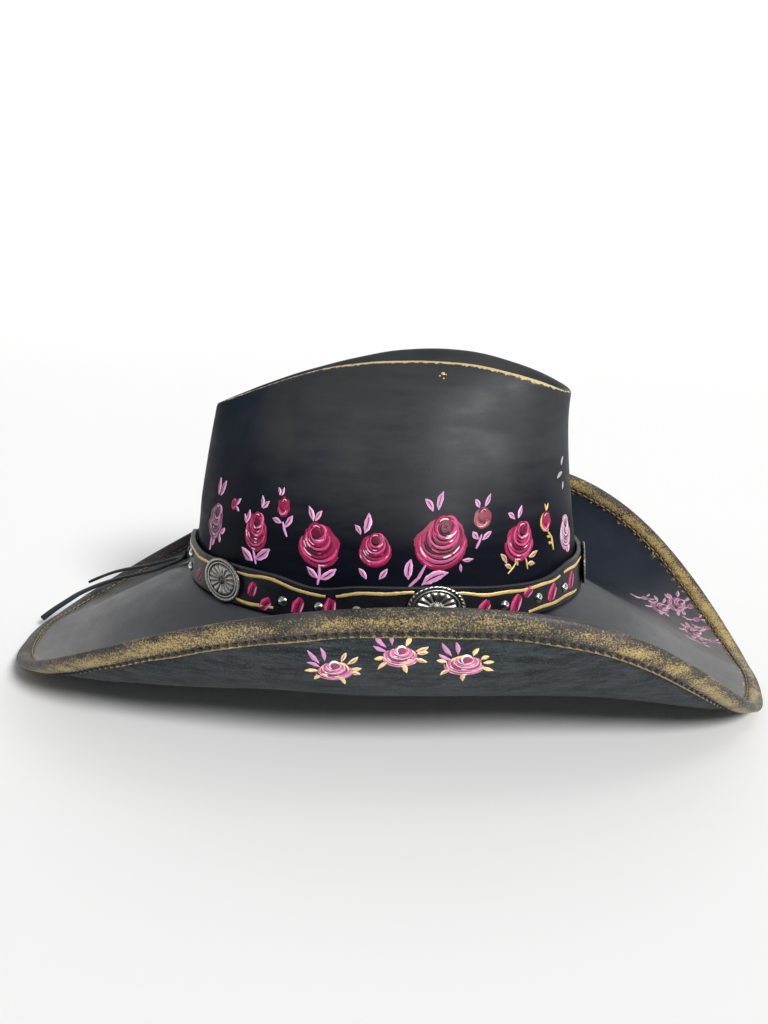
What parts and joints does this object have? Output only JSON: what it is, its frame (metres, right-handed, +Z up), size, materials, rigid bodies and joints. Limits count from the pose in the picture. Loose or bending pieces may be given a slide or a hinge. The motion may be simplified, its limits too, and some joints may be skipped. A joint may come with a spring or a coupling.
{
  "type": "western hat",
  "caption": "Leather hat with a creased crown, a side-curled brim with a bound edge, and a removable studded strap hatband tied at the back.",
  "frame": {"origin": "middle of the hat's footprint on the table, under the brim", "axes": "+X to the front of the hat, +Z up, +Y to the wearer's left side"},
  "size_m": [0.404, 0.3034, 0.1699],
  "materials": {
    "crown_leather": "smooth, semi-matt, hand rubbed",
    "brim_leather": "smooth on top, fibrous underneath",
    "rim_leather": "worn gold rub over dark leather",
    "wire_steel": "drawn wire",
    "thread": "waxed thread",
    "tan_thread": "thread",
    "sweatband_leather": "matt lining leather",
    "ribbon": "woven ribbon",
    "strap_leather": "satin black",
    "lace_leather": "satin dark lace",
    "antique_silver": "cast, darkened in the hollows",
    "nickel": "polished",
    "rose_paint": "dried acrylic brush strokes",
    "gold_paint": "dried metallic brush strokes"
  },
  "bodies": {
    "hat": {"crown_side": "crown_leather", "crown_top": "crown_leather", "crown_thread": "thread", "brim_leather": "brim_leather", "edge_binding": "rim_leather", "brim_wire": "wire_steel", "edge_thread_top": "thread", "edge_thread_under": "thread", "root_thread": "thread", "sweatband": "sweatband_leather", "sweatband_thread": "tan_thread", "sweatband_bow": "ribbon"},
    "hatband": {"band_strap": "strap_leather", "concho_front": "antique_silver", "concho_near_front": "antique_silver", "concho_near_back": "antique_silver", "concho_far_back": "antique_silver", "concho_far_front": "antique_silver", "concho_screws": "nickel", "studs_near_front": "nickel", "studs_near_back": "nickel", "studs_far_back": "nickel", "studs_far_front": "nickel", "studs_tie": "nickel", "tie_lace": "lace_leather", "lace_knot": "lace_leather", "lace_tail_short": "lace_leather", "lace_tail_long": "lace_leather"}
  },
  "joints": [
    {"name": "hatband_lift", "type": "slide", "parent": "hat", "child": "hatband", "axis": [0, 0, 1], "range_m": [0, 0.13]}
  ]
}
